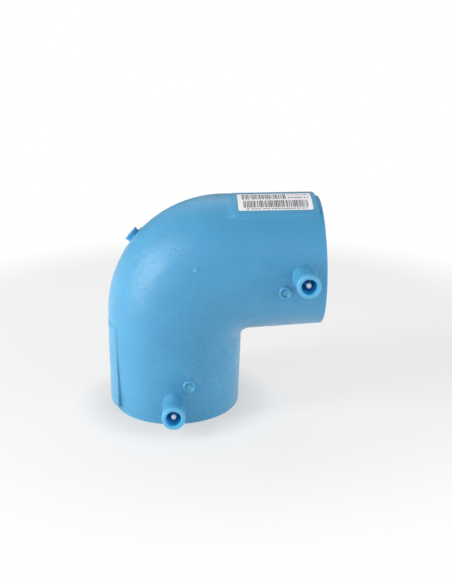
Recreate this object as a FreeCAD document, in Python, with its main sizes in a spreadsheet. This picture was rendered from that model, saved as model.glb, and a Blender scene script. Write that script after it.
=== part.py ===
import FreeCAD, Part
import os
import math
import Sketcher
from FreeCAD import Placement, Rotation, Vector

# Electrofusion elbow, 90 degrees, for 90 mm water pipe. Millimetres.
# The lower socket stands on its mouth at z = 0 with its axis on Z. The side socket
# lies along +X. The two terminals point to -Y. The bend's outer side is toward -X and +Z.

os.makedirs("parts", exist_ok=True)
doc = FreeCAD.newDocument("electrofusion_elbow")
sheet = doc.addObject("Spreadsheet::Sheet", "dims")


class Q:
    """A length with its value and its formula in the dimension sheet."""

    def __init__(self, value, text=None):
        self.value = float(value)
        self.text = text

    def formula(self):
        return self.text if self.text is not None else repr(self.value)

    def join(self, other, sign, value):
        other = as_q(other)
        if self.text is None and other.text is None:
            return Q(value(self.value, other.value))
        return Q(value(self.value, other.value), "(%s %s %s)" % (self.formula(), sign, other.formula()))

    def __add__(self, other):
        return self.join(other, "+", lambda a, b: a + b)

    def __sub__(self, other):
        return self.join(other, "-", lambda a, b: a - b)

    def __mul__(self, other):
        return self.join(other, "*", lambda a, b: a * b)

    def __neg__(self):
        return Q(0) - self


def as_q(v):
    return v if isinstance(v, Q) else Q(v)


def cosine(angle):
    return Q(math.cos(math.radians(angle.value)), "cos(%s)" % angle.formula())


def sine(angle):
    return Q(math.sin(math.radians(angle.value)), "sin(%s)" % angle.formula())


rows = [0]


def dim(alias, value, note):
    rows[0] += 1
    n = rows[0]
    sheet.set("A%d" % n, note)
    sheet.set("B%d" % n, "%s" % value)
    sheet.setAlias("B%d" % n, alias)
    return Q(value, "dims." + alias)


# Moulding, outside
arm = dim("arm_length", 124.5, "centre of the elbow to each mouth")
body_r = dim("body_radius", 57.5, "outside radius of the bend")
mouth_r = dim("mouth_radius", 54.3, "outside radius at each mouth, where the socket tapers to")
crotch = dim("crotch_radius", 7, "radius of the inner corner of the bend")
bend = dim("bend_radius", 43.5, "radius of the bend's centreline on the outer side")
rim = dim("rim_round", 1, "rounding of the mouth's outer edge")
# Moulding, inside
bore_r = dim("bore_radius", 45.6, "socket bore, for pipe of 90 mm")
depth = dim("socket_depth", 72, "mouth to pipe stop")
lead_z = dim("leadin_depth", 3, "depth of the lead-in at the mouth")
lead_r = dim("leadin_rise", 1.4, "how far the lead-in opens the bore")
stop_r = dim("stop_radius", 42.4, "inner edge of the pipe stop's face")
water_r = dim("water_radius", 39, "waterway through the bend")
slope_z = dim("stop_slope_depth", 77, "mouth to the end of the slope behind the stop")
# Raised pads on the outer side of each socket
pad_up = dim("pad_proud", 0.3, "pads above the bend's radius")
pad_in = dim("pad_root_radius", 50, "radius where a pad's block starts inside the wall")
pad_f = dim("pad_edge_far", 0.27, "rounding of a pad's edge at its far end, where the pad is 0.3 high")
low_a = dim("lower_pad_start", 4.5, "mouth to the near end of the lower pad")
low_b = dim("lower_pad_end", 75, "mouth to the far end of the lower pad")
low_ang = dim("lower_pad_half_angle", 33, "half the angle that the lower pad covers")
low_c = dim("lower_pad_corner", 2.5, "rounding of the lower pad's corners, seen from above")
low_e = dim("lower_pad_edge", 1.1, "rounding of the lower pad's edge next to the mouth, where it is 3 high")
side_a = dim("label_pad_start", 3.2, "mouth to the near end of the label pad")
side_b = dim("label_pad_end", 73.2, "mouth to the far end of the label pad")
side_ang = dim("label_pad_half_angle", 37.8, "half the angle that the label pad covers")
side_c = dim("label_pad_corner", 4.5, "rounding of the label pad's corners, seen from above")
side_e = dim("label_pad_edge", 2.6, "rounding of the label pad's edge next to the mouth")
# Terminal shrouds
ter_z = dim("shroud_station", 18.1, "mouth to the axis of a terminal")
ter_y = dim("shroud_reach", 82, "elbow axis to the rim of a shroud")
ter_r = dim("shroud_radius", 9.35, "shroud outside radius at the rim")
ter_rb = dim("shroud_root_radius", 9.8, "shroud outside radius at the wall")
ter_e = dim("shroud_rim_round", 1.5, "rounding of the shroud rim's outer edge")
ter_i = dim("shroud_mouth_round", 0.6, "rounding of the shroud rim's inner edge")
ter_f = dim("shroud_root_round", 1, "fillet at the foot of a shroud")
cav_r = dim("cavity_radius", 6.15, "shroud inside radius")
cav_y = dim("cavity_floor", 66, "elbow axis to the floor of the shroud")
root_y = dim("shroud_root", 50, "elbow axis to the shroud's root inside the wall")
# Terminal pins
pin_r = dim("pin_radius", 2.35, "terminal pin radius, a 4.7 mm terminal")
pin_y = dim("pin_tip", 78, "elbow axis to the pin's tip")
pin_root = dim("pin_root", 49, "elbow axis to the pin's inner end")
pin_ch = dim("pin_tip_bevel", 0.6, "bevel of the pin's tip")
shank_r = dim("shank_radius", 2.8, "radius of the pin's thicker shank, which is set in the wall")
shank_y = dim("shank_end", 66.6, "elbow axis to the step where the free contact length starts")
col_r = dim("collar_radius", 3.6, "collar that anchors the pin in the wall")
col_a = dim("collar_inner", 53, "elbow axis to the collar's inner face")
col_b = dim("collar_outer", 57, "elbow axis to the collar's outer face")
# Fusion indicators
ind_z = dim("indicator_station", 33.8, "mouth to the indicator's axis")
ind_x = dim("indicator_offset", 12.4, "indicator's offset toward the inner side of the bend")
boss_r = dim("boss_radius", 5, "indicator boss radius")
boss_y = dim("boss_reach", 57.7, "elbow axis to the boss's rim")
boss_e = dim("boss_rim_round", 0.9, "rounding of the boss rim's outer edge")
boss_f = dim("boss_root_round", 0.5, "fillet at the foot of a boss")
rec_r = dim("recess_radius", 3.3, "recess in the boss")
rec_y = dim("recess_floor", 56.95, "elbow axis to the recess floor")
rec_e = dim("recess_round", 0.7, "rounding of the recess's edge")
ipin_r = dim("indicator_pin_radius", 2.4, "indicator pin radius")
ipin_a = dim("indicator_pin_root", 49.6, "elbow axis to the indicator pin's inner end")
ipin_b = dim("indicator_pin_top", 56.95, "elbow axis to the indicator pin's top, flush with the recess floor")
# Gate stub on the outer side of the bend, and a mould pip
gate_ang = dim("gate_angle", 41, "angle of the gate stub above the horizontal")
gate_r = dim("gate_radius", 6.5, "gate stub radius at the wall")
gate_rt = dim("gate_top_radius", 6.9, "gate stub radius at the cut face")
gate_up = dim("gate_height", 4.4, "gate stub height")
gate_dish = dim("gate_dish", 0.8, "depth of the dished cut face")
col_g = dim("gate_collar_radius", 8.1, "low collar at the gate's foot")
pip_r = dim("pip_radius", 0.9, "mould pip radius")
# Heating wire
wire_r = dim("wire_radius", 0.5, "heating wire radius")
wind_r = dim("winding_radius", 46.7, "winding radius, just under the bore")
pitch = dim("winding_pitch", 3.9, "winding pitch")
turns = dim("winding_turns", 10, "turns in each socket")
bead_r = dim("wire_bead_radius", 0.65, "rounded corner of the wire")
wire_x = dim("wire_offset", 1.2, "how far beside the terminal's axis the wire leaves it")
# Sticker on the side socket's pad
lab_a = dim("sticker_start", 8.3, "mouth to the sticker's near end")
lab_b = dim("sticker_end", 69.4, "mouth to the sticker's far end")
lab_lo = dim("sticker_low_angle", 59, "angle of the sticker's lower edge above the terminals' side")
lab_hi = dim("sticker_high_angle", 87.5, "angle of the sticker's upper edge")
lab_t = dim("sticker_thickness", 0.15, "sticker thickness")
lab_c = dim("sticker_corner", 1.6, "sticker corner radius")
doc.recompute()

fil = crotch + body_r          # distance of the crotch arc's centre from each axis
tangent = arm - fil            # where the taper ends and the crotch arc starts


def plane(body, role):
    for item in body.Origin.OriginFeatures:
        if item.Role == role:
            return item
    return None


def new_body(label):
    body = doc.addObject("PartDesign::Body", label)
    body.Label = label
    doc.recompute()
    return body


def new_sketch(body, name, role, offset=None):
    sk = body.newObject("Sketcher::SketchObject", name)
    sk.AttachmentSupport = [(plane(body, role), "")]
    sk.MapMode = "FlatFace"
    if offset is not None:
        offset = as_q(offset)
        sk.AttachmentOffset = Placement(Vector(0, 0, offset.value), Rotation())
        if offset.text is not None:
            sk.setExpression("AttachmentOffset.Base.z", offset.text)
    doc.recompute()
    return sk


count = [0]


def bind(sk, constraint, q):
    """Add a driving constraint whose size follows the sheet."""
    k = sk.addConstraint(constraint)
    if q.text is not None:
        count[0] += 1
        name = "d%d" % count[0]
        sk.renameConstraint(k, name)
        sk.setExpression("Constraints." + name, q.text)


def pin_x(sk, geo, pos, x):
    x = as_q(x)
    if x.text is None and x.value == 0:
        sk.addConstraint(Sketcher.Constraint("PointOnObject", geo, pos, -2))
    else:
        bind(sk, Sketcher.Constraint("DistanceX", -1, 1, geo, pos, x.value), x)


def pin_yy(sk, geo, pos, y):
    y = as_q(y)
    if y.text is None and y.value == 0:
        sk.addConstraint(Sketcher.Constraint("PointOnObject", geo, pos, -1))
    else:
        bind(sk, Sketcher.Constraint("DistanceY", -1, 1, geo, pos, y.value), y)


def pin_point(sk, geo, pos, x, y):
    pin_x(sk, geo, pos, x)
    pin_yy(sk, geo, pos, y)


def vec(x, y):
    return Vector(as_q(x).value, as_q(y).value, 0)


def polygon(sk, points):
    n = len(points)
    first = sk.GeometryCount
    for i in range(n):
        a, b = points[i], points[(i + 1) % n]
        sk.addGeometry(Part.LineSegment(vec(*a), vec(*b)), False)
    for i in range(n):
        sk.addConstraint(Sketcher.Constraint("Coincident", first + i, 2, first + (i + 1) % n, 1))
    for i in range(n):
        pin_point(sk, first + i, 1, points[i][0], points[i][1])
    doc.recompute()
    return sk


def axis_line(sk, a, b):
    """A construction line for a revolved feature to turn about."""
    g = sk.addGeometry(Part.LineSegment(vec(*a), vec(*b)), True)
    pin_point(sk, g, 1, a[0], a[1])
    pin_point(sk, g, 2, b[0], b[1])
    doc.recompute()
    return sk


def disc(sk, cx, cy, r):
    g = sk.addGeometry(Part.Circle(vec(cx, cy), Vector(0, 0, 1), as_q(r).value), False)
    pin_point(sk, g, 3, cx, cy)
    bind(sk, Sketcher.Constraint("Radius", g, as_q(r).value), as_q(r))
    doc.recompute()
    return sk


def half_disc(sk, cx, cy, r, mid):
    """Half a disc: the arc runs a half turn round the centre with its middle at angle mid."""
    cx, cy, r = as_q(cx), as_q(cy), as_q(r)
    a0 = math.radians(mid - 90)
    circle = Part.Circle(vec(cx, cy), Vector(0, 0, 1), r.value)
    g = sk.addGeometry(Part.ArcOfCircle(circle, a0, a0 + math.pi), False)
    p = Vector(cx.value + r.value * math.cos(a0), cy.value + r.value * math.sin(a0), 0)
    q = Vector(cx.value - r.value * math.cos(a0), cy.value - r.value * math.sin(a0), 0)
    k = sk.addGeometry(Part.LineSegment(q, p), False)
    sk.addConstraint(Sketcher.Constraint("Coincident", g, 2, k, 1))
    sk.addConstraint(Sketcher.Constraint("Coincident", g, 1, k, 2))
    sk.addConstraint(Sketcher.Constraint("PointOnObject", g, 3, k))
    sk.addConstraint(Sketcher.Constraint("Vertical" if mid % 180 == 0 else "Horizontal", k))
    pin_point(sk, g, 3, cx, cy)
    bind(sk, Sketcher.Constraint("Radius", g, r.value), r)
    doc.recompute()
    return sk


def ring_sector(sk, cx, cy, r0, r1, mid, half):
    """Part of a ring between two radii, half an angle each side of its middle (0, 90 or 180)."""
    cx, cy, r0, r1, half = as_q(cx), as_q(cy), as_q(r0), as_q(r1), as_q(half)
    c, s = cosine(half), sine(half)
    if mid == 180:
        first, last = (-c, s), (-c, -s)
    else:
        first, last = (s, c), (-s, c)
    ids = []
    for r in (r1, r0):
        circle = Part.Circle(vec(cx, cy), Vector(0, 0, 1), r.value)
        a0 = math.atan2(first[1].value, first[0].value)
        a1 = math.atan2(last[1].value, last[0].value)
        if a1 < a0:
            a1 += 2 * math.pi
        g = sk.addGeometry(Part.ArcOfCircle(circle, a0, a1), False)
        pin_point(sk, g, 3, cx, cy)
        pin_point(sk, g, 1, cx + first[0] * r, cy + first[1] * r)
        if mid == 180:
            pin_yy(sk, g, 2, cy + last[1] * r)
        else:
            pin_x(sk, g, 2, cx + last[0] * r)
        ids.append(g)
    for pos in (1, 2):
        a = vec(cx + (first if pos == 1 else last)[0] * r1, cy + (first if pos == 1 else last)[1] * r1)
        b = vec(cx + (first if pos == 1 else last)[0] * r0, cy + (first if pos == 1 else last)[1] * r0)
        k = sk.addGeometry(Part.LineSegment(a, b), False)
        sk.addConstraint(Sketcher.Constraint("Coincident", ids[0], pos, k, 1))
        sk.addConstraint(Sketcher.Constraint("Coincident", ids[1], pos, k, 2))
    doc.recompute()
    return sk


def check(feature):
    doc.recompute()
    bad = [word for word in feature.State if word in ("Invalid", "Error")]
    if bad or feature.Shape.isNull() or not feature.Shape.isValid():
        raise RuntimeError("%s: %s" % (feature.Name, bad))
    return feature


def grows(body, before, sign, what):
    """The feature has to add (+1) or remove (-1) volume."""
    after = body.Shape.Volume
    if (after - before) * sign <= 0:
        raise RuntimeError("%s changed the volume from %.1f to %.1f" % (what, before, after))
    return after


def pad(body, name, sk, length, reverse=False, cut=False):
    before = body.Shape.Volume if body.Tip else 0.0
    f = body.newObject("PartDesign::Pocket" if cut else "PartDesign::Pad", name)
    f.Profile = sk
    f.Length = as_q(length).value
    if as_q(length).text is not None:
        f.setExpression("Length", as_q(length).text)
    f.Reversed = reverse
    sk.Visibility = False
    check(f)
    grows(body, before, -1 if cut else 1, name)
    return f


def turn(body, name, sk, axis, angle=360, reverse=False, cut=False):
    before = body.Shape.Volume if body.Tip else 0.0
    f = body.newObject("PartDesign::Groove" if cut else "PartDesign::Revolution", name)
    f.Profile = sk
    f.ReferenceAxis = (sk, [axis])
    f.Angle = angle
    f.Reversed = reverse
    sk.Visibility = False
    check(f)
    grows(body, before, -1 if cut else 1, name)
    return f


# ---------------------------------------------------------------- the moulding
elbow = new_body("elbow_moulding")

# Lower socket: a taper from the mouth up to the bend's full radius.
s = polygon(new_sketch(elbow, "lower_taper_profile", "XZ_Plane"),
            [(0, 0), (mouth_r, 0), (body_r, tangent), (0, tangent)])
turn(elbow, "lower_taper", s, "V_Axis")

# Outer half of the bend: straight, a quarter turn, straight.
s = half_disc(new_sketch(elbow, "outer_lower_profile", "XY_Plane", tangent), 0, 0, body_r, 180)
pad(elbow, "outer_lower", s, fil - bend)
s = half_disc(new_sketch(elbow, "outer_bend_profile", "XY_Plane", arm - bend), 0, 0, body_r, 180)
axis_line(s, (bend, -20), (bend, 20))
turn(elbow, "outer_bend", s, "Axis0", 90)
s = half_disc(new_sketch(elbow, "outer_side_profile", "YZ_Plane", bend), 0, arm, body_r, 90)
pad(elbow, "outer_side", s, fil - bend)

# Side socket: the same taper along +X.
s = polygon(new_sketch(elbow, "side_taper_profile", "XZ_Plane"),
            [(fil, arm), (fil, arm + body_r), (arm, arm + mouth_r), (arm, arm)])
axis_line(s, (0, arm), (20, arm))
turn(elbow, "side_taper", s, "Axis0")

# Inner half of the bend, a tighter quarter turn, and the flat between the two halves.
s = half_disc(new_sketch(elbow, "inner_bend_profile", "XY_Plane", tangent), 0, 0, body_r, 0)
axis_line(s, (fil, -20), (fil, 20))
turn(elbow, "inner_bend", s, "Axis0", 90)

s = new_sketch(elbow, "cheek_profile", "XZ_Plane", body_r)
corners = [(Q(0), tangent), (Q(0), arm - bend), (bend, arm), (fil, arm)]
g0 = s.addGeometry(Part.LineSegment(vec(*corners[0]), vec(*corners[1])), False)
g1 = s.addGeometry(Part.ArcOfCircle(Part.Circle(vec(bend, arm - bend), Vector(0, 0, 1), bend.value),
                                    math.pi / 2, math.pi), False)
g2 = s.addGeometry(Part.LineSegment(vec(*corners[2]), vec(*corners[3])), False)
g3 = s.addGeometry(Part.ArcOfCircle(Part.Circle(vec(fil, tangent), Vector(0, 0, 1), fil.value),
                                    math.pi / 2, math.pi), False)
s.addConstraint(Sketcher.Constraint("Coincident", g0, 2, g1, 2))
s.addConstraint(Sketcher.Constraint("Coincident", g1, 1, g2, 1))
s.addConstraint(Sketcher.Constraint("Coincident", g2, 2, g3, 1))
s.addConstraint(Sketcher.Constraint("Coincident", g3, 2, g0, 1))
pin_point(s, g0, 1, *corners[0])
pin_point(s, g0, 2, *corners[1])
pin_point(s, g2, 1, *corners[2])
pin_point(s, g2, 2, *corners[3])
pin_x(s, g1, 3, bend)
pin_x(s, g3, 3, fil)
pad(elbow, "cheeks", s, body_r * 2, reverse=True)

# Raised pads on the outer side of both sockets.
s = ring_sector(new_sketch(elbow, "lower_pad_profile", "XY_Plane", low_a),
                0, 0, pad_in, body_r + pad_up, 180, low_ang)
pad(elbow, "lower_pad", s, low_b - low_a)
s = ring_sector(new_sketch(elbow, "label_pad_profile", "YZ_Plane", arm - side_b),
                0, arm, pad_in, body_r + pad_up, 90, side_ang)
pad(elbow, "label_pad", s, side_b - side_a)

# Terminal shrouds: drafted tubes that point to -Y.
s = polygon(new_sketch(elbow, "lower_shroud_profile", "YZ_Plane"),
            [(-root_y, ter_z), (-root_y, ter_z + ter_rb), (-ter_y, ter_z + ter_r), (-ter_y, ter_z)])
axis_line(s, (0, ter_z), (-20, ter_z))
turn(elbow, "lower_shroud", s, "Axis0")
s = polygon(new_sketch(elbow, "side_shroud_profile", "YZ_Plane", arm - ter_z),
            [(-root_y, arm), (-root_y, arm + ter_rb), (-ter_y, arm + ter_r), (-ter_y, arm)])
axis_line(s, (0, arm), (-20, arm))
turn(elbow, "side_shroud", s, "Axis0")

# Fusion-indicator bosses.
for tag, cx, cz in (("lower", ind_x, ind_z), ("side", arm - ind_z, arm - ind_x)):
    s = disc(new_sketch(elbow, tag + "_boss_profile", "XZ_Plane", root_y), cx, cz, boss_r)
    pad(elbow, tag + "_boss", s, boss_y - root_y)

# Gate stub: a low collar, then a flared stub with a dished cut face. It is turned about the
# line that leaves the bend's centre at the gate's angle.
reach = bend + body_r
ca, sa = cosine(gate_ang), sine(gate_ang)


def on_gate(r, up):
    """A point r beside and up along the gate's line, in the XZ plane."""
    return (bend - ca * (reach + up) + sa * r, arm - bend + sa * (reach + up) + ca * r)


s = polygon(new_sketch(elbow, "gate_profile", "XZ_Plane"),
            [on_gate(Q(0), Q(-8)), on_gate(gate_r, Q(-8)), on_gate(gate_r, Q(0.6)),
             on_gate(gate_r * 0.96, gate_up * 0.55), on_gate(gate_rt, gate_up),
             on_gate(gate_rt - 0.9, gate_up), on_gate(gate_rt * 0.5, gate_up - gate_dish * 0.75),
             on_gate(Q(0), gate_up - gate_dish)])
axis_line(s, on_gate(Q(0), Q(-8)), on_gate(Q(0), gate_up + 6))
turn(elbow, "gate_stub", s, "Axis0")



def primitive(kind, name, sizes, placement, bound=()):
    before = elbow.Shape.Volume
    f = elbow.newObject("PartDesign::" + kind, name)
    for key, q in sizes.items():
        setattr(f, key, as_q(q).value)
        if as_q(q).text is not None:
            f.setExpression(key, as_q(q).text)
    f.Placement = placement
    for key, q in bound:
        f.setExpression("Placement.Base." + key, q.text)
    check(f)
    grows(elbow, before, 1, name)
    return f


# The low collar at the gate's foot sits a little toward the bend's top.
lean = math.radians(gate_ang.value + 1.0)
low = reach.value - 5.7
primitive("AdditiveCylinder", "gate_collar", {"Radius": col_g, "Height": 6},
          Placement(Vector(bend.value - low * math.cos(lean), 0, arm.value - bend.value + low * math.sin(lean)),
                    Rotation(Vector(0, 0, 1), Vector(-math.cos(lean), 0, math.sin(lean)))))
primitive("AdditiveSphere", "mould_pip", {"Radius": pip_r}, Placement(Vector(20.3, -55.7, 131.9), Rotation()))

# Bores: lead-in, socket, pipe stop, slope and the waterway round the bend.
s = polygon(new_sketch(elbow, "lower_bore_profile", "XZ_Plane"),
            [(0, -1), (bore_r + lead_r + lead_r * 0.3333333, -1), (bore_r, lead_z), (bore_r, depth),
             (stop_r, depth), (water_r, slope_z), (water_r, arm - bend), (0, arm - bend)])
turn(elbow, "lower_bore", s, "V_Axis", cut=True)
s = polygon(new_sketch(elbow, "side_bore_profile", "XZ_Plane"),
            [(arm + 1, arm), (arm + 1, arm + bore_r + lead_r + lead_r * 0.3333333), (arm - lead_z, arm + bore_r),
             (arm - depth, arm + bore_r), (arm - depth, arm + stop_r), (arm - slope_z, arm + water_r),
             (bend, arm + water_r), (bend, arm)])
axis_line(s, (0, arm), (20, arm))
turn(elbow, "side_bore", s, "Axis0", cut=True)
for tag, mid in (("front", 270), ("back", 90)):
    s = half_disc(new_sketch(elbow, "waterway_%s_profile" % tag, "XY_Plane", arm - bend), 0, 0, water_r, mid)
    axis_line(s, (bend, -20), (bend, 20))
    turn(elbow, "waterway_" + tag, s, "Axis0", 90, cut=True)

# Shroud cavities and the recesses of the two indicator bosses.
for tag, cx, cz in (("lower", Q(0), ter_z), ("side", arm - ter_z, arm)):
    s = disc(new_sketch(elbow, tag + "_cavity_profile", "XZ_Plane", cav_y), cx, cz, cav_r)
    pad(elbow, tag + "_cavity", s, ter_y - cav_y + 1, reverse=True, cut=True)
for tag, cx, cz in (("lower", ind_x, ind_z), ("side", arm - ind_z, arm - ind_x)):
    s = disc(new_sketch(elbow, tag + "_recess_profile", "XZ_Plane", rec_y), cx, cz, rec_r)
    pad(elbow, tag + "_recess", s, boss_y - rec_y + 1, reverse=True, cut=True)


def edges_where(shape, test):
    return ["Edge%d" % (i + 1) for i, e in enumerate(shape.Edges) if test(e)]


def round_off(name, radius, test, expect):
    base = elbow.Tip
    names = edges_where(base.Shape, test)
    if len(names) != expect:
        raise RuntimeError("%s: %d edges" % (name, len(names)))
    f = elbow.newObject("PartDesign::Fillet", name)
    f.Base = (base, names)
    f.Radius = radius.value
    f.setExpression("Radius", radius.text)
    check(f)
    return f


def is_mouth_rim(e):
    if e.Curve.TypeId != "Part::GeomCircle" or abs(e.Curve.Radius - mouth_r.value) > 1e-4:
        return False
    c = e.Curve.Center
    return abs(c.z) < 1e-4 or abs(c.x - arm.value) < 1e-4


round_off("rim_rounding", rim, is_mouth_rim, 2)

shrouds = ((0.0, ter_z.value), (arm.value - ter_z.value, arm.value))
bosses = ((ind_x.value, ind_z.value), (arm.value - ind_z.value, arm.value - ind_x.value))


def lies(e, centres, low_r, high_r, low_y, high_y):
    """The whole edge runs round one of the centres in the XZ plane, inside these radii and depths."""
    span = e.LastParameter - e.FirstParameter
    points = [e.valueAt(e.FirstParameter + span * k / 8.0) for k in range(9)]
    for cx, cz in centres:
        if all(low_r <= math.hypot(p.x - cx, p.z - cz) <= high_r and low_y <= -p.y <= high_y for p in points):
            return e.Length > 5
    return False


def about(value, by=0.02):
    return value - by, value + by


round_off("shroud_root_rounding", ter_f, lambda e: lies(e, shrouds, 9, 10.2, 50, 60), 2)
round_off("boss_root_rounding", boss_f, lambda e: lies(e, bosses, *about(boss_r.value), 50, boss_y.value - 0.3), 2)
round_off("shroud_rim_rounding", ter_e, lambda e: lies(e, shrouds, *about(ter_r.value), *about(ter_y.value)), 2)
round_off("shroud_mouth_rounding", ter_i, lambda e: lies(e, shrouds, *about(cav_r.value), *about(ter_y.value)), 2)
round_off("boss_rim_rounding", boss_e, lambda e: lies(e, bosses, *about(boss_r.value), *about(boss_y.value)), 2)
round_off("recess_edge_rounding", rec_e, lambda e: lies(e, bosses, *about(rec_r.value), *about(boss_y.value)), 2)


def on_pads(e):
    """Points of an edge as (radius, angle from the outer line, distance from the mouth), for each socket."""
    span = e.LastParameter - e.FirstParameter
    points = [e.valueAt(e.FirstParameter + span * k / 8.0) for k in range(9)]
    return ([(math.hypot(p.x, p.y), math.degrees(math.atan2(p.y, -p.x)), p.z) for p in points],
            [(math.hypot(p.z - arm.value, p.y), math.degrees(math.atan2(p.y, p.z - arm.value)), arm.value - p.x)
             for p in points])


# Start, end, half angle, corner and edge rounding of the lower pad and of the label pad.
pads = [(low_a.value, low_b.value, low_ang.value, low_c.value, low_e.value),
        (side_a.value, side_b.value, side_ang.value, side_c.value, side_e.value)]


def is_pad_corner(e, which):
    near, far, half = pads[which][:3]
    top = body_r.value + pad_up.value + 0.01
    return e.Length < 4 and all(54 < r < top and abs(abs(a) - half) < 0.1 and
                                min(abs(z - near), abs(z - far)) < 0.01 for r, a, z in on_pads(e)[which])


def is_pad_edge(e, which):
    near, far, half = pads[which][:3]
    top = body_r.value + pad_up.value
    return all(abs(r - top) < 0.01 and abs(a) < half + 0.1 and near - 0.1 < z < far + 0.1
               for r, a, z in on_pads(e)[which])


round_off("lower_pad_corner_rounding", low_c, lambda e: is_pad_corner(e, 0), 4)
round_off("label_pad_corner_rounding", side_c, lambda e: is_pad_corner(e, 1), 4)

# The pads' upper edges: well rounded next to the mouth, and finer where the pad gets low.
moulding = doc.addObject("Part::Fillet", "moulding")
moulding.Base = elbow


def edge_round(z, which):
    start, end, half, corner, edge = pads[which]
    near, far = start + corner, end - corner
    share = min(max((z - near) / (far - near), 0.0), 1.0)
    return edge + (pad_f.value - edge) * share


rows = []
for i, e in enumerate(elbow.Shape.Edges):
    for which in (0, 1):
        if is_pad_edge(e, which):
            way = on_pads(e)[which]
            rows.append((i + 1, edge_round(way[0][2], which), edge_round(way[-1][2], which)))
if len(rows) != 16:
    raise RuntimeError("pad edges: %d" % len(rows))
moulding.Edges = rows
check(moulding)

# ---------------------------------------------------------------- the inserts


def place(obj, at, rotation):
    """Placement whose base follows the sheet."""
    at = [as_q(v) for v in at]
    obj.Placement = Placement(Vector(at[0].value, at[1].value, at[2].value), rotation)
    for key, q in zip("xyz", at):
        if q.text is not None:
            obj.setExpression("Placement.Base." + key, q.text)


def turned(label, points, at):
    """A turned pin that points to -Y."""
    body = new_body(label)
    turn(body, label + "_turning", polygon(new_sketch(body, label + "_profile", "XZ_Plane"), points), "V_Axis")
    place(body, at, Rotation(Vector(1, 0, 0), 90))
    doc.recompute()
    return body


terminal = [(0, 0), (shank_r, 0), (shank_r, col_a - pin_root), (col_r, col_a - pin_root),
            (col_r, col_b - pin_root), (shank_r, col_b - pin_root), (shank_r, shank_y - pin_root),
            (pin_r, shank_y - pin_root), (pin_r, pin_y - pin_root - pin_ch),
            (pin_r - pin_ch, pin_y - pin_root), (0, pin_y - pin_root)]
terminal_pin_lower = turned("terminal_pin_lower", terminal, (0, -pin_root, ter_z))
terminal_pin_side = turned("terminal_pin_side", terminal, (arm - ter_z, -pin_root, arm))

riser = [(0, 0), (ipin_r, 0), (ipin_r, ipin_b - ipin_a), (0, ipin_b - ipin_a)]
indicator_pin_lower = turned("indicator_pin_lower", riser, (ind_x, -ipin_a, ind_z))
indicator_pin_side = turned("indicator_pin_side", riser, (arm - ind_z, -ipin_a, arm - ind_x))


def part(kind, name, sizes=None, at=None, rotation=None):
    obj = doc.addObject("Part::" + kind, name)
    for key, q in (sizes or {}).items():
        setattr(obj, key, as_q(q).value)
        if as_q(q).text is not None:
            obj.setExpression(key, as_q(q).text)
    if at is not None:
        place(obj, at, rotation or Rotation())
    return obj


# Heating wire. Each winding starts under its terminal, on the side that faces -Y, and rises by
# half the pitch in each half turn. A half turn is half a ring, tilted about the line across
# it, so the next one carries on in its direction. One lead along the bend joins the windings.
span = turns * pitch
wire_y = Q(math.sqrt(wind_r.value ** 2 - wire_x.value ** 2), "sqrt(%s ^ 2 - %s ^ 2)" % (wind_r.text, wire_x.text))
start = Rotation(Vector(0, 0, 1), math.degrees(math.asin(wire_x.value / wind_r.value)))
tilt = math.atan2(pitch.value / 4, wind_r.value)
half_turns = []
for k in range(2 * int(turns.value)):
    ring = part("Torus", "lower_half_turn_%02d" % (k + 1),
                {"Radius1": Q(math.hypot(wind_r.value, pitch.value / 4), "sqrt(%s ^ 2 + (%s / 4) ^ 2)"
                              % (wind_r.text, pitch.text)),
                 "Radius2": wire_r}, (0, 0, ter_z + pitch * (0.25 + 0.5 * k)))
    ring.Angle3 = 180
    side = -1 if k % 2 == 0 else 1
    ring.Placement.Rotation = start * Rotation(Vector(0, side * math.cos(tilt), -math.sin(tilt)), Vector(-side, 0, 0),
                                               Vector(0, side * math.sin(tilt), math.cos(tilt)), "XYZ")
    half_turns.append(ring)
coil = part("MultiFuse", "lower_winding")
coil.Shapes = half_turns
coil.Refine = False
check(coil)
stub = part("Cylinder", "lower_tail", {"Radius": wire_r, "Height": pin_root - wire_y},
            (wire_x, -wire_y, ter_z), Rotation(Vector(1, 0, 0), 90))
bead_a = part("Sphere", "lower_bead_start", {"Radius": bead_r}, (wire_x, -wire_y, ter_z))
bead_b = part("Sphere", "lower_bead_end", {"Radius": bead_r}, (wire_x, -wire_y, ter_z + span))
lower_wire = coil
for name, tool in (("lower_wire_start", bead_a), ("lower_wire_tail", stub), ("lower_wire_end", bead_b)):
    joined = part("Fuse", name)
    joined.Base = lower_wire
    joined.Tool = tool
    joined.Refine = False
    check(joined)
    lower_wire = joined
if lower_wire.Shape.optimalBoundingBox(False).YMin > -pin_root.value + 0.01:
    raise RuntimeError("the tail doesn't reach the terminal pin")
side_wire = part("Mirroring", "side_wire")
side_wire.Source = lower_wire
side_wire.Base = Vector(arm.value, 0, 0)
side_wire.setExpression("Base.x", arm.text)
side_wire.Normal = Vector(1, 0, 1)
check(side_wire)
rise = part("Cylinder", "lead_rise", {"Radius": wire_r, "Height": arm - bend - ter_z - span},
            (wire_x, -wire_y, ter_z + span))
run = part("Cylinder", "lead_run", {"Radius": wire_r, "Height": arm - bend - ter_z - span},
           (bend, -wire_y, arm - wire_x), Rotation(Vector(0, 1, 0), 90))
curve = part("Torus", "lead_bend", {"Radius1": bend - wire_x, "Radius2": wire_r}, (bend, -wire_y, arm - bend),
             Rotation(Vector(-1, 0, 0), Vector(0, 0, 1), Vector(0, 1, 0), "XYZ"))
curve.Angle3 = 90
heating_wire = part("MultiFuse", "heating_wire")
heating_wire.Shapes = [lower_wire, side_wire, rise, run, curve]
heating_wire.Label = "heating_wire"
check(heating_wire)

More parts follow.
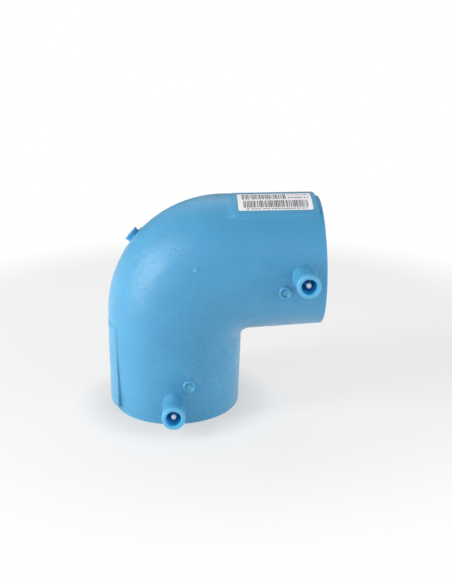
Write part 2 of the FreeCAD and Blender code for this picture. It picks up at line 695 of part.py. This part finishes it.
# The moulding closes round its inserts with no gap.
inserts = part("MultiFuse", "inserts")
inserts.Shapes = [heating_wire, terminal_pin_lower, terminal_pin_side, indicator_pin_lower, indicator_pin_side]
check(inserts)
elbow_body = part("Cut", "elbow_body")
elbow_body.Base = moulding
elbow_body.Tool = inserts
elbow_body.Label = "elbow_body"
check(elbow_body)

# Sticker on the side socket's raised pad, a thin sheet bent round it.
label_sticker = new_body("label_sticker")
half = (lab_hi - lab_lo) * 0.5
s = ring_sector(new_sketch(label_sticker, "sticker_profile", "YZ_Plane", arm - lab_b),
                0, 0, body_r + pad_up, body_r + pad_up + lab_t, 90, half)
pad(label_sticker, "sticker_sheet", s, lab_b - lab_a)
sheet_tip = label_sticker.Tip
names = edges_where(sheet_tip.Shape, lambda e: abs(e.Length - lab_t.value) < 1e-4)
if len(names) != 4:
    raise RuntimeError("sticker corners: %d edges" % len(names))
rounding = label_sticker.newObject("PartDesign::Fillet", "sticker_corners")
rounding.Base = (sheet_tip, names)
rounding.Radius = lab_c.value
rounding.setExpression("Radius", lab_c.text)
place(label_sticker, (0, 0, arm), Rotation(Vector(1, 0, 0), 90 - (lab_hi.value + lab_lo.value) / 2))
label_sticker.setExpression("Placement.Rotation.Angle",
                            "90 - (%s + %s) / 2" % (lab_hi.text, lab_lo.text))
check(rounding)

# ---------------------------------------------------------------- check and write
final = [elbow_body, heating_wire, terminal_pin_lower, terminal_pin_side,
         indicator_pin_lower, indicator_pin_side, label_sticker]
doc.recompute()
for obj in doc.Objects:
    bad = [word for word in obj.State if word in ("Invalid", "Error")]
    if bad:
        raise RuntimeError("%s: %s" % (obj.Name, bad))
for obj in final:
    shape = obj.Shape
    if shape.isNull() or not shape.isValid() or len(shape.Solids) != 1:
        raise RuntimeError("%s: null, invalid or not one solid" % obj.Label)
    shape.exportStep("parts/%s.step" % obj.Label)
    box = shape.optimalBoundingBox(False)
    print("%-22s %10.1f mm3  %d faces  x %.2f %.2f  y %.2f %.2f  z %.2f %.2f"
          % (obj.Label, shape.Volume, len(shape.Faces), box.XMin, box.XMax, box.YMin, box.YMax, box.ZMin, box.ZMax))
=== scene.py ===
import math
import random

import bmesh
import bpy
import numpy as np
from mathutils import Matrix, Vector


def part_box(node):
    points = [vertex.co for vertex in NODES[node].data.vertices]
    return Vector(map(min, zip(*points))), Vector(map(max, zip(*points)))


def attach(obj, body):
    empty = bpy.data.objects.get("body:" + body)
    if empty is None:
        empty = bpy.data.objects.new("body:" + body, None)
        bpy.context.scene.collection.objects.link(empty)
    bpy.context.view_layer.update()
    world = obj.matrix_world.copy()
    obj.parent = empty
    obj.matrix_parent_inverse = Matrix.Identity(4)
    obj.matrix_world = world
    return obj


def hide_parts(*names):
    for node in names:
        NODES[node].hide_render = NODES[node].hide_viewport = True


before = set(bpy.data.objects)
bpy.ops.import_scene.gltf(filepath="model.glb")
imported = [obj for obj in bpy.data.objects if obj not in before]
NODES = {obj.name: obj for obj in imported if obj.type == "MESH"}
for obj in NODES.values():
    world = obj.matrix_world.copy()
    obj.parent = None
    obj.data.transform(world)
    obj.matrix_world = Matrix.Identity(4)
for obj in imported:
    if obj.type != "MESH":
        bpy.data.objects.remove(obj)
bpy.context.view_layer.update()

MM = 0.001

# Sizes of the elbow, in millimetres, as the model has them
ARM = 124.5          # centre of the elbow to each mouth
BODY_R = 57.5        # outside radius of the bend
BEND = 43.5          # radius of the bend's centreline
BORE_R = 45.6        # socket bore
WATER_R = 39.0       # waterway
PAD_R = 57.8         # raised pads
WIND_R = 46.7        # winding
WIND_START = 18.1    # mouth to the first turn
PITCH = 3.9
TURNS = 10
SHROUD_AT = 18.1     # mouth to the axis of a terminal
WIRE_X = 1.2         # how far beside the terminal's axis the wire leaves it
LABEL_R = PAD_R + 0.15
LABEL_X = (55.1, 116.2)
LABEL_ANGLE = (59.0, 87.5)

scene = bpy.context.scene
scene.view_settings.view_transform = "Standard"
scene.view_settings.look = "None"
scene.view_settings.exposure = 0.0
scene.view_settings.gamma = 1.0


# ------------------------------------------------------------------ camera
def make_camera():
    azimuth, elevation, roll = (math.radians(a) for a in CAMERA_ANGLES)
    back = Vector((math.sin(azimuth) * math.cos(elevation), -math.cos(azimuth) * math.cos(elevation),
                   math.sin(elevation)))
    right = Vector((math.cos(azimuth), math.sin(azimuth), 0.0))
    up = right.cross(-back)
    c, s = math.cos(roll), math.sin(roll)
    r2, u2 = right * c + up * s, up * c - right * s
    data = bpy.data.cameras.new("camera")
    data.sensor_fit = "AUTO"
    data.sensor_width = 36.0
    data.lens = CAMERA_FOCAL / 584.0 * 36.0
    data.shift_x = -CAMERA_CENTRE[0] / 584.0
    data.shift_y = CAMERA_CENTRE[1] / 584.0
    data.clip_start, data.clip_end = 0.01, 50.0
    data.dof.use_dof = False
    cam = bpy.data.objects.new("camera", data)
    m = Matrix((r2, u2, back)).transposed().to_4x4()
    m.translation = Vector(CAMERA_PLACE) * MM
    cam.matrix_world = m
    scene.collection.objects.link(cam)
    scene.camera = cam
    return cam


# Place in millimetres, angles in degrees, focal length and optical centre in pixels of the 452 x 584 frame
CAMERA_PLACE = (25.364, -692.071, 316.401)
CAMERA_ANGLES = (0.8115, 10.77, -1.1918)
CAMERA_FOCAL = 831.705
CAMERA_CENTRE = (-36.0, -100.0)
make_camera()


# ------------------------------------------------------------------ node helpers
class Nodes:
    """Short calls to build a material's node tree."""

    def __init__(self, name):
        self.material = bpy.data.materials.new(name)
        self.material.use_nodes = True
        self.tree = self.material.node_tree
        self.tree.nodes.clear()
        self.out = self.tree.nodes.new("ShaderNodeOutputMaterial")
        self.bsdf = self.tree.nodes.new("ShaderNodeBsdfPrincipled")
        self.tree.links.new(self.bsdf.outputs[0], self.out.inputs[0])
        self.coords = self.tree.nodes.new("ShaderNodeTexCoord").outputs["Object"]

    def link(self, a, b):
        self.tree.links.new(a, b)

    def math(self, op, a, b=None, c=None, clamp=False):
        n = self.tree.nodes.new("ShaderNodeMath")
        n.operation = op
        n.use_clamp = clamp
        for i, v in enumerate((a, b, c)):
            if v is None:
                continue
            if isinstance(v, (int, float)):
                n.inputs[i].default_value = v
            else:
                self.link(v, n.inputs[i])
        return n.outputs[0]

    def xyz(self):
        n = self.tree.nodes.new("ShaderNodeSeparateXYZ")
        self.link(self.coords, n.inputs[0])
        return n.outputs[0], n.outputs[1], n.outputs[2]

    def noise(self, scale, detail=2.0, rough=0.5, coords=None, distortion=0.0):
        n = self.tree.nodes.new("ShaderNodeTexNoise")
        n.inputs["Scale"].default_value = scale
        n.inputs["Detail"].default_value = detail
        n.inputs["Roughness"].default_value = rough
        n.inputs["Distortion"].default_value = distortion
        self.link(coords or self.coords, n.inputs["Vector"])
        return n.outputs["Fac"]

    def voronoi(self, scale, feature="F1", coords=None):
        n = self.tree.nodes.new("ShaderNodeTexVoronoi")
        n.feature = feature
        n.inputs["Scale"].default_value = scale
        self.link(coords or self.coords, n.inputs["Vector"])
        return n.outputs["Distance"]

    def remap(self, value, low, high, to_low=0.0, to_high=1.0, smooth=False):
        n = self.tree.nodes.new("ShaderNodeMapRange")
        n.interpolation_type = "SMOOTHSTEP" if smooth else "LINEAR"
        self.link(value, n.inputs["Value"])
        n.inputs["From Min"].default_value = low
        n.inputs["From Max"].default_value = high
        n.inputs["To Min"].default_value = to_low
        n.inputs["To Max"].default_value = to_high
        return n.outputs[0]

    def mix(self, factor, a, b, mode="MIX"):
        n = self.tree.nodes.new("ShaderNodeMix")
        n.data_type = "RGBA"
        n.blend_type = mode
        n.clamp_factor = True
        for socket, v in ((n.inputs[0], factor), (n.inputs[6], a), (n.inputs[7], b)):
            if isinstance(v, (int, float)):
                socket.default_value = v
            elif isinstance(v, tuple):
                socket.default_value = v if len(v) == 4 else (*v, 1.0)
            else:
                self.link(v, socket)
        return n.outputs[2]

    def bump(self, height, distance, strength=1.0, below=None):
        n = self.tree.nodes.new("ShaderNodeBump")
        n.inputs["Strength"].default_value = strength
        n.inputs["Distance"].default_value = distance
        self.link(height, n.inputs["Height"])
        if below is not None:
            self.link(below, n.inputs["Normal"])
        return n.outputs[0]

    def attribute(self, name):
        n = self.tree.nodes.new("ShaderNodeAttribute")
        n.attribute_name = name
        return n.outputs["Fac"]

    def set(self, **values):
        for key, v in values.items():
            socket = self.bsdf.inputs[key.replace("_", " ")]
            if isinstance(v, (int, float, tuple)):
                socket.default_value = v if not isinstance(v, tuple) or len(v) == 4 else (*v, 1.0)
            else:
                self.link(v, socket)


def srgb(r, g, b):
    def one(c):
        c /= 255.0
        return c / 12.92 if c <= 0.04045 else ((c + 0.055) / 1.055) ** 2.4
    return one(r), one(g), one(b)


def scaled(colour, k):
    return tuple(c * k for c in colour)


# ------------------------------------------------------------------ materials
BLUE = (0.066, 0.308, 0.524)


def plastic(name, colour, grain=1.0, body=True):
    """Blue polyethylene from a spark-eroded mould: a fine, uneven grain over a waxy surface."""
    n = Nodes(name)
    x, y, z = n.xyz()
    cells = n.noise(820.0, 3.0, 0.62, distortion=0.3)
    relief = n.noise(1150.0, 0.0, 0.5)
    patches = n.noise(34.0, 3.0, 0.5)
    large = n.noise(9.0, 2.0, 0.5)
    # colour: cloudy pigment, and a paler speckle on the grain's tops, partly the pigment's bloom and partly a
    # painted sparkle that stands in for the glints of a highlight
    cloud = n.remap(patches, 0.3, 0.7)
    base = n.mix(cloud, scaled(colour, 0.965), scaled(colour, 1.03))
    bloom_and_painted_sparkle = n.remap(relief, 0.45, 0.75, 0.0, 0.36)
    base = n.mix(bloom_and_painted_sparkle, base, tuple(min(1.0, c * 1.25 + 0.015) for c in colour))
    if body:
        # painted light: a pale glow painted on the thin rims of the shrouds, where light comes through them, and a
        # bright clear blue painted on the wall inside, where light falls into the bores
        rim, inside = painted_shroud_light(n, x, y, z)
        red, green, blue = colour
        # painted glow on the shrouds' rims, then a brighter blue painted on the walls inside them
        base = n.mix(rim, base, (min(1.0, red * 1.9), min(1.0, green * 1.42), min(1.0, blue * 1.22)))
        base = n.mix(inside, base, (red * 0.8, min(1.0, green * 1.4), min(1.0, blue * 1.35)))
    n.set(Base_Color=base)
    rough = n.math("ADD", n.remap(cells, 0.3, 0.7, 0.46, 0.54), n.remap(large, 0.35, 0.65, -0.02, 0.02))
    n.set(Roughness=rough)
    n.bsdf.inputs["IOR"].default_value = 1.5
    n.bsdf.inputs["Subsurface Weight"].default_value = 0.7
    n.bsdf.inputs["Subsurface Radius"].default_value = (0.35, 1.0, 1.6)
    n.bsdf.inputs["Subsurface Scale"].default_value = 0.004
    n.bsdf.inputs["Specular IOR Level"].default_value = 0.15
    n.set(Coat_Weight=n.remap(relief, 0.42, 0.60, 0.25, 1.0))
    n.bsdf.inputs["Coat Roughness"].default_value = 0.18
    n.bsdf.inputs["Coat IOR"].default_value = 1.5
    # the translucent body hides the grain, and the waxy skin shows it as speckle in a highlight
    height = n.math("ADD", cells, n.math("MULTIPLY", relief, 0.6))
    normal = n.bump(height, 0.00036 * grain, 1.0)
    skin = n.bump(relief, 0.00034 * grain, 1.0)
    if body:
        marks, line = winding_marks(n, x, y, z), parting_line(n, y)
        normal = n.bump(line, 0.00005, 1.0, below=n.bump(marks, 0.00010, 1.0, below=normal))
        skin = n.bump(line, 0.00005, 1.0, below=n.bump(marks, 0.00010, 1.0, below=skin))
    n.set(Normal=normal, Coat_Normal=skin)
    return n.material


def painted_shroud_light(n, x, y, z):
    """Masks for painted light: how far a point belongs to the thin rim of a terminal shroud, where a glow is
    painted, and to the wall inside one, where a brighter blue is painted.
    """
    near = None
    for at_x, at_z in ((0.0, SHROUD_AT), (ARM - SHROUD_AT, ARM)):
        u, w = n.math("SUBTRACT", x, at_x * MM), n.math("SUBTRACT", z, at_z * MM)
        r = n.math("SQRT", n.math("ADD", n.math("MULTIPLY", u, u), n.math("MULTIPLY", w, w)))
        near = r if near is None else n.math("MINIMUM", near, r)
    # where the painted glow lies: the outer end of each shroud
    rim = n.remap(y, -81.6 * MM, -73.0 * MM, 0.75, 0.0, smooth=True)
    deep = n.remap(y, -65.9 * MM, -65.5 * MM, 1.0, 0.0)
    inside = n.math("MULTIPLY", n.remap(near, 6.3 * MM, 6.5 * MM, 1.0, 0.0), deep)
    return rim, inside


def winding_marks(n, x, y, z):
    """Low rings that the buried winding leaves on the wall of each socket's bore."""
    marks = None
    for flip in (False, True):
        if flip:  # the side socket is the lower one mirrored across the bend
            u = n.math("SUBTRACT", ARM * MM, z)
            w = n.math("SUBTRACT", ARM * MM, x)
        else:
            u, w = x, z
        radius = n.math("SQRT", n.math("ADD", n.math("MULTIPLY", u, u), n.math("MULTIPLY", y, y)))
        turn = n.math("DIVIDE", n.math("ARCTAN2", u, n.math("MULTIPLY", y, -1.0)), 2 * math.pi)
        phase = n.math("SUBTRACT", n.math("DIVIDE", n.math("SUBTRACT", w, WIND_START * MM), PITCH * MM), turn)
        wave = n.math("POWER", n.math("ADD", n.math("MULTIPLY", n.math("COSINE", n.math(
            "MULTIPLY", phase, 2 * math.pi)), 0.5), 0.5), 3.0)
        on_wall = n.remap(radius, (BORE_R + 0.2) * MM, (BORE_R + 0.5) * MM, 1.0, 0.0)
        off_water = n.remap(radius, (BORE_R - 0.6) * MM, (BORE_R - 0.3) * MM, 0.0, 1.0)
        start = n.remap(w, (WIND_START - 2) * MM, WIND_START * MM, 0.0, 1.0, smooth=True)
        end = n.remap(w, (WIND_START + TURNS * PITCH) * MM, (WIND_START + TURNS * PITCH + 2) * MM, 1.0, 0.0, smooth=True)
        one = n.math("MULTIPLY", n.math("MULTIPLY", wave, n.math("MULTIPLY", on_wall, off_water)),
                     n.math("MULTIPLY", start, end))
        marks = one if marks is None else n.math("ADD", marks, one)
    return marks


def parting_line(n, y):
    """The hairline where the mould's two halves meet, on the outside only."""
    near = n.remap(n.math("ABSOLUTE", y), 0.00004, 0.00022, 1.0, 0.0, smooth=True)
    return n.math("MULTIPLY", near, n.attribute("outside"))


def tinned(name):
    """Tin-plated contact pin, turned, with fine rings and a little dulling."""
    n = Nodes(name)
    x, y, z = n.xyz()
    n.set(Metallic=1.0)
    dull = n.noise(900.0, 3.0, 0.6)
    n.set(Base_Color=n.mix(n.remap(dull, 0.35, 0.7), srgb(228, 230, 234), srgb(190, 192, 197)))
    n.set(Roughness=n.remap(dull, 0.3, 0.7, 0.30, 0.46))
    rings = n.math("SINE", n.math("MULTIPLY", y, 2 * math.pi / 0.00016))
    n.set(Normal=n.bump(rings, 0.000012, 0.8))
    return n.material


def copper(name):
    """Drawn resistance wire, slightly dulled."""
    n = Nodes(name)
    n.set(Metallic=1.0)
    tone = n.noise(700.0, 3.0, 0.6)
    n.set(Base_Color=n.mix(n.remap(tone, 0.35, 0.7), srgb(214, 150, 112), srgb(176, 112, 80)))
    n.set(Roughness=n.remap(tone, 0.3, 0.7, 0.26, 0.42))
    n.set(Normal=n.bump(n.noise(2600.0, 2.0, 0.5), 0.00001, 0.6))
    return n.material


def paper(name):
    """Coated white label stock, with a trace of unevenness from the glue under it."""
    n = Nodes(name)
    fibres = n.noise(2200.0, 3.0, 0.6)
    waves = n.noise(120.0, 2.0, 0.5)
    n.set(Base_Color=n.mix(n.remap(waves, 0.3, 0.7), srgb(240, 240, 242), srgb(231, 232, 236)))
    n.set(Roughness=n.remap(fibres, 0.3, 0.7, 0.40, 0.52))
    normal = n.bump(fibres, 0.00001, 0.6)
    n.set(Normal=n.bump(waves, 0.00008, 0.5, below=normal))
    return n.material


def ink(name, dark, pale):
    """Print on the sticker, thin in places."""
    n = Nodes(name)
    worn = n.noise(160.0, 3.0, 0.6)
    speck = n.noise(3000.0, 2.0, 0.5)
    base = n.mix(n.remap(worn, 0.42, 0.72), dark, pale)
    n.set(Base_Color=n.mix(n.remap(speck, 0.5, 0.8, 0.0, 0.35), base, srgb(160, 158, 160)))
    n.set(Roughness=n.remap(speck, 0.3, 0.7, 0.42, 0.58))
    n.set(Normal=n.bump(speck, 0.000008, 0.5))
    return n.material


def give(obj, material):
    obj.data.materials.clear()
    obj.data.materials.append(material)


# ------------------------------------------------------------------ the moulding
def outer_distance(p):
    """How far a point in millimetres lies outside the waterway's line, roughly, for telling outside from inside."""
    x, y, z = p
    if z < ARM - BEND and x < BEND:
        return math.hypot(x, y)
    if x > BEND and z > ARM - BEND:
        return math.hypot(z - ARM, y)
    dx, dz = BEND - x, z - (ARM - BEND)
    return math.hypot(math.hypot(dx, dz) - BEND, y)


def mesh_object(name, verts, faces, material=None, smooth=False):
    mesh = bpy.data.meshes.new(name)
    mesh.from_pydata([tuple(v) for v in verts], [], faces)
    mesh.update()
    obj = bpy.data.objects.new(name, mesh)
    scene.collection.objects.link(obj)
    if smooth:
        mesh.shade_smooth()
    if material:
        mesh.materials.append(material)
    return obj


def make_moulding():
    """The moulding's skin, with the faces of each side joined so that it shades as one surface. The hollow that the
    buried wire fills is left out, because nothing can be seen of it."""
    source = NODES["elbow_body"].data
    bm = bmesh.new()
    bm.from_mesh(source)
    bmesh.ops.remove_doubles(bm, verts=bm.verts, dist=2e-6)
    bm.verts.ensure_lookup_table()
    wind_lo, wind_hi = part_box("heating_wire")

    def on_wire(v):
        x, y, z = (c / MM for c in v.co)
        for u, w in ((x, z), (ARM - z, ARM - x)):
            if abs(math.hypot(u, y) - WIND_R) < 0.9 and 17.2 < w < WIND_START + TURNS * PITCH + 0.9:
                if abs(math.hypot(u, y) - WIND_R) < 0.56 or y < -45.5:
                    return True
            if abs(u - WIRE_X) < 0.7 and -49.05 < y < -45.9 and 17 < w < ARM - BEND + 1:  # tail and lead
                return True
        dx, dz = BEND - x, z - (ARM - BEND)
        return (dx > -0.1 and dz > -0.1 and abs(math.hypot(dx, dz) - BEND + WIRE_X) < 0.7 and -47.4 < y < -46.0)

    marked = {v for v in bm.verts if on_wire(v)}
    hidden = [f for f in bm.faces if all(v in marked for v in f.verts)]
    bmesh.ops.delete(bm, geom=hidden, context="FACES")
    loose = [v for v in bm.verts if not v.link_faces]
    bmesh.ops.delete(bm, geom=loose, context="VERTS")
    rims = [e for e in bm.edges if len(e.link_faces) == 1]
    holes = len(rims)
    if rims:
        bmesh.ops.holes_fill(bm, edges=rims, sides=0)
    bmesh.ops.triangulate(bm, faces=[f for f in bm.faces if len(f.verts) > 4])
    open_edges = sum(1 for e in bm.edges if len(e.link_faces) != 2)
    print("moulding: %d faces, %d rim edges filled, %d open edges left" % (len(bm.faces), holes, open_edges))
    mesh = bpy.data.meshes.new("moulding")
    bm.to_mesh(mesh)
    bm.free()
    obj = bpy.data.objects.new("moulding", mesh)
    scene.collection.objects.link(obj)
    mesh.shade_smooth()
    mesh.set_sharp_from_angle(angle=math.radians(32))
    outside = mesh.attributes.new("outside", "FLOAT", "POINT")
    values = [1.0 if outer_distance([c / MM for c in v.co]) > 51.0 else 0.0 for v in mesh.vertices]
    outside.data.foreach_set("value", values)
    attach(obj, "root")
    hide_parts("elbow_body")
    give(obj, plastic("blue_polyethylene", BLUE))
    return obj


moulding = make_moulding()

# painted light: the indicator pins get a lighter copy of the body's blue, to make up for the shade in their
# recesses
give(NODES["indicator_pin_lower"], plastic("indicator_plastic_painted_lighter", scaled(BLUE, 1.22), body=False))
give(NODES["indicator_pin_side"], NODES["indicator_pin_lower"].data.materials[0])
give(NODES["terminal_pin_lower"], tinned("tinned_contact"))
give(NODES["terminal_pin_side"], NODES["terminal_pin_lower"].data.materials[0])
give(NODES["heating_wire"], copper("resistance_wire"))
give(NODES["label_sticker"], paper("label_paper"))


# ------------------------------------------------------------------ the label's print
def on_label(x, angle, radius):
    """A point of the label's bent sheet: x along the arm in millimetres, angle in degrees up from the terminals' side."""
    a = math.radians(angle)
    return (x * MM, -radius * math.cos(a) * MM, (ARM + radius * math.sin(a)) * MM)


def printed_boxes(boxes, steps=5):
    """Thin closed patches of ink that follow the label. Each box is (x from, x to, angle from, angle to)."""
    verts, faces = [], []
    low, high = LABEL_R - 0.02, LABEL_R + 0.025
    for x0, x1, a0, a1 in boxes:
        n = max(1, min(steps, int(math.ceil((a1 - a0) / 2.0))))
        first = len(verts)
        for i in range(n + 1):
            a = a0 + (a1 - a0) * i / n
            verts += [on_label(x0, a, low), on_label(x1, a, low), on_label(x1, a, high), on_label(x0, a, high)]
        for i in range(n):
            b, t = first + 4 * i, first + 4 * i + 4
            faces += [(b + 3, b + 2, t + 2, t + 3), (b, t, t + 1, b + 1), (b, b + 3, t + 3, t), (b + 1, t + 1, t + 2, b + 2)]
        last = first + 4 * n
        faces += [(first, first + 1, first + 2, first + 3), (last, last + 3, last + 2, last + 1)]
    return verts, faces


def bars(rng, x0, x1, a0, a1, unit):
    """A row of generic bars, each one to three units wide, with gaps of one or two."""
    out, x = [], x0
    while x < x1 - unit:
        wide = unit * rng.choice((1, 1, 2, 2, 2, 3))
        out.append((x, min(x + wide, x1), a0, a1))
        x += wide + unit * rng.choice((1, 1, 1, 1, 2, 2))
    return out


def dashes(rng, x0, x1, angle, tall, longest):
    """A line of small plain dashes."""
    out, x = [], x0
    while x < x1 - 0.6:
        long = rng.uniform(0.5, longest)
        out.append((x, min(x + long, x1), angle - tall / 2, angle + tall / 2))
        x += long + rng.choice((0.45, 0.45, 0.45, 1.3))
    return out


def make_print():
    rng = random.Random(7)
    boxes = bars(rng, 58.8, 95.2, 74.6, 85.2, 0.40)
    boxes += bars(rng, 59.6, 112.6, 62.6, 72.6, 0.40)
    red = dashes(rng, 97.2, 114.0, 83.0, 1.5, 1.8)
    boxes += dashes(rng, 97.0, 114.2, 77.0, 2.0, 2.6)
    boxes += dashes(rng, 61.5, 112.6, 60.9, 1.3, 1.6)
    prints = (("label_print", boxes, ink("label_ink", srgb(72, 70, 74), srgb(128, 125, 128))),
              ("label_print_red", red, ink("label_ink_red", srgb(178, 98, 78), srgb(205, 150, 132))))
    for name, shapes, material in prints:
        verts, faces = printed_boxes(shapes)
        obj = mesh_object(name, verts, faces, material)
        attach(obj, "root")


make_print()


# ------------------------------------------------------------------ stage and lights
FLOOR_TONE = 0.22              # how pale the floor is
FLOOR_GLOW = 0.68              # light that comes through it from below
FLOOR_GLOW_PAINTED_SHADOW = 0.54         # less of it beside the elbow's foot: a painted contact shadow
FLOOR_MIDDLE = (0.03, 0.18)
FLOOR_FADE = (0.27, 0.45)      # distances from its middle, in metres, over which it turns into plain white


def make_floor():
    """A round pale floor that fades out into the pale surroundings."""
    segments, rings = 96, [0.0, 0.15, 0.35, 0.7, 1.2, 2.0, 3.2, 5.0]
    verts, faces = [(0.0, 0.0, 0.0)], []
    for r in rings[1:]:
        verts += [(r * math.cos(2 * math.pi * k / segments), r * math.sin(2 * math.pi * k / segments), 0.0)
                  for k in range(segments)]
    for k in range(segments):
        faces.append((0, 1 + k, 1 + (k + 1) % segments))
    for j in range(1, len(rings) - 1):
        a, b = 1 + (j - 1) * segments, 1 + j * segments
        for k in range(segments):
            q = (k + 1) % segments
            faces.append((a + k, b + k, b + q, a + q))
    n = Nodes("pale_floor")
    x, y, z = n.xyz()
    foot = n.math("SQRT", n.math("ADD", n.math("MULTIPLY", x, x), n.math("MULTIPLY", y, y)))
    # the glow is dimmed around the elbow's foot: a painted contact shadow on the floor
    n.set(Base_Color=(FLOOR_TONE, FLOOR_TONE, FLOOR_TONE), Roughness=0.6, Emission_Color=(1.0, 1.0, 1.0),
          Emission_Strength=n.remap(foot, 0.055, 0.095, FLOOR_GLOW_PAINTED_SHADOW, FLOOR_GLOW, smooth=True))
    n.bsdf.inputs["Specular IOR Level"].default_value = 0.2
    aside, away = n.math("SUBTRACT", x, FLOOR_MIDDLE[0]), n.math("SUBTRACT", y, FLOOR_MIDDLE[1])
    radius = n.math("SQRT", n.math("ADD", n.math("MULTIPLY", aside, aside), n.math("MULTIPLY", away, away)))
    fade = n.remap(radius, FLOOR_FADE[0], FLOOR_FADE[1], 0.0, 1.0, smooth=True)
    seen = n.tree.nodes.new("ShaderNodeLightPath").outputs["Is Camera Ray"]
    fade = n.math("MULTIPLY", fade, seen)
    below = n.tree.nodes.new("ShaderNodeNewGeometry").outputs["Backfacing"]
    clear = n.tree.nodes.new("ShaderNodeBsdfTransparent")
    mixer = n.tree.nodes.new("ShaderNodeMixShader")
    n.link(n.math("MAXIMUM", fade, below), mixer.inputs[0])
    n.link(n.bsdf.outputs[0], mixer.inputs[1])
    n.link(clear.outputs[0], mixer.inputs[2])
    n.link(mixer.outputs[0], n.out.inputs[0])
    floor = mesh_object("floor", verts, faces, n.material)
    return floor


def area_light(name, place, target, size, power, colour=(1.0, 1.0, 1.0), size_y=None):
    data = bpy.data.lights.new(name, "AREA")
    data.shape = "RECTANGLE"
    data.size, data.size_y = size, size_y or size
    data.energy = power
    data.color = colour
    obj = bpy.data.objects.new(name, data)
    obj.location = place
    obj.rotation_mode = "QUATERNION"
    obj.rotation_quaternion = (Vector(place) - Vector(target)).to_track_quat("Z", "Y")
    scene.collection.objects.link(obj)
    return obj


def make_world(strength):
    """Soft light from all around, which looks plain white where nothing stands before it."""
    world = bpy.data.worlds.new("surroundings")
    scene.world = world
    world.use_nodes = True
    tree = world.node_tree
    glow = tree.nodes["Background"]
    glow.inputs["Color"].default_value = (1.0, 1.0, 1.0, 1.0)
    glow.inputs["Strength"].default_value = strength
    white = tree.nodes.new("ShaderNodeBackground")
    white.inputs["Color"].default_value = (1.0, 1.0, 1.0, 1.0)
    white.inputs["Strength"].default_value = 1.0
    seen = tree.nodes.new("ShaderNodeLightPath").outputs["Is Camera Ray"]
    mixer = tree.nodes.new("ShaderNodeMixShader")
    tree.links.new(seen, mixer.inputs[0])
    tree.links.new(glow.outputs[0], mixer.inputs[1])
    tree.links.new(white.outputs[0], mixer.inputs[2])
    tree.links.new(mixer.outputs[0], tree.nodes["World Output"].inputs[0])


# Softboxes: direction from the elbow, distance, width, height and power
WORLD = 0.17
LIGHTS = {
    "left": ((-0.86, -0.35, 0.38), 1.1, 0.30, 0.90, 11.2),
    "left_back": ((-0.90, 0.40, 0.25), 1.2, 0.8, 0.8, 1.5),
    "left_front": ((-0.66, -0.70, 0.36), 1.5, 1.6, 1.2, 4.3),
    "front": ((0.0, -0.85, 0.50), 1.6, 1.3, 0.9, 2.0),
    "above": ((0.05, -0.1, 1.0), 1.2, 1.1, 1.1, 1.06),
    "right": ((1.0, -0.3, 0.25), 1.2, 0.8, 0.8, 3.8),
    "right_front": ((0.75, -0.65, 0.4), 1.4, 0.9, 0.9, 5.0),
    "back": ((0.0, 0.8, 0.75), 1.4, 1.2, 0.8, 3.6),
}

make_floor()
make_world(WORLD)
for light, (direction, far, wide, high, power) in LIGHTS.items():
    aim = Vector((0.03, 0.0, 0.10))
    area_light("softbox_" + light, aim + Vector(direction).normalized() * far, aim, wide, power, size_y=high)

bpy.context.view_layer.update()
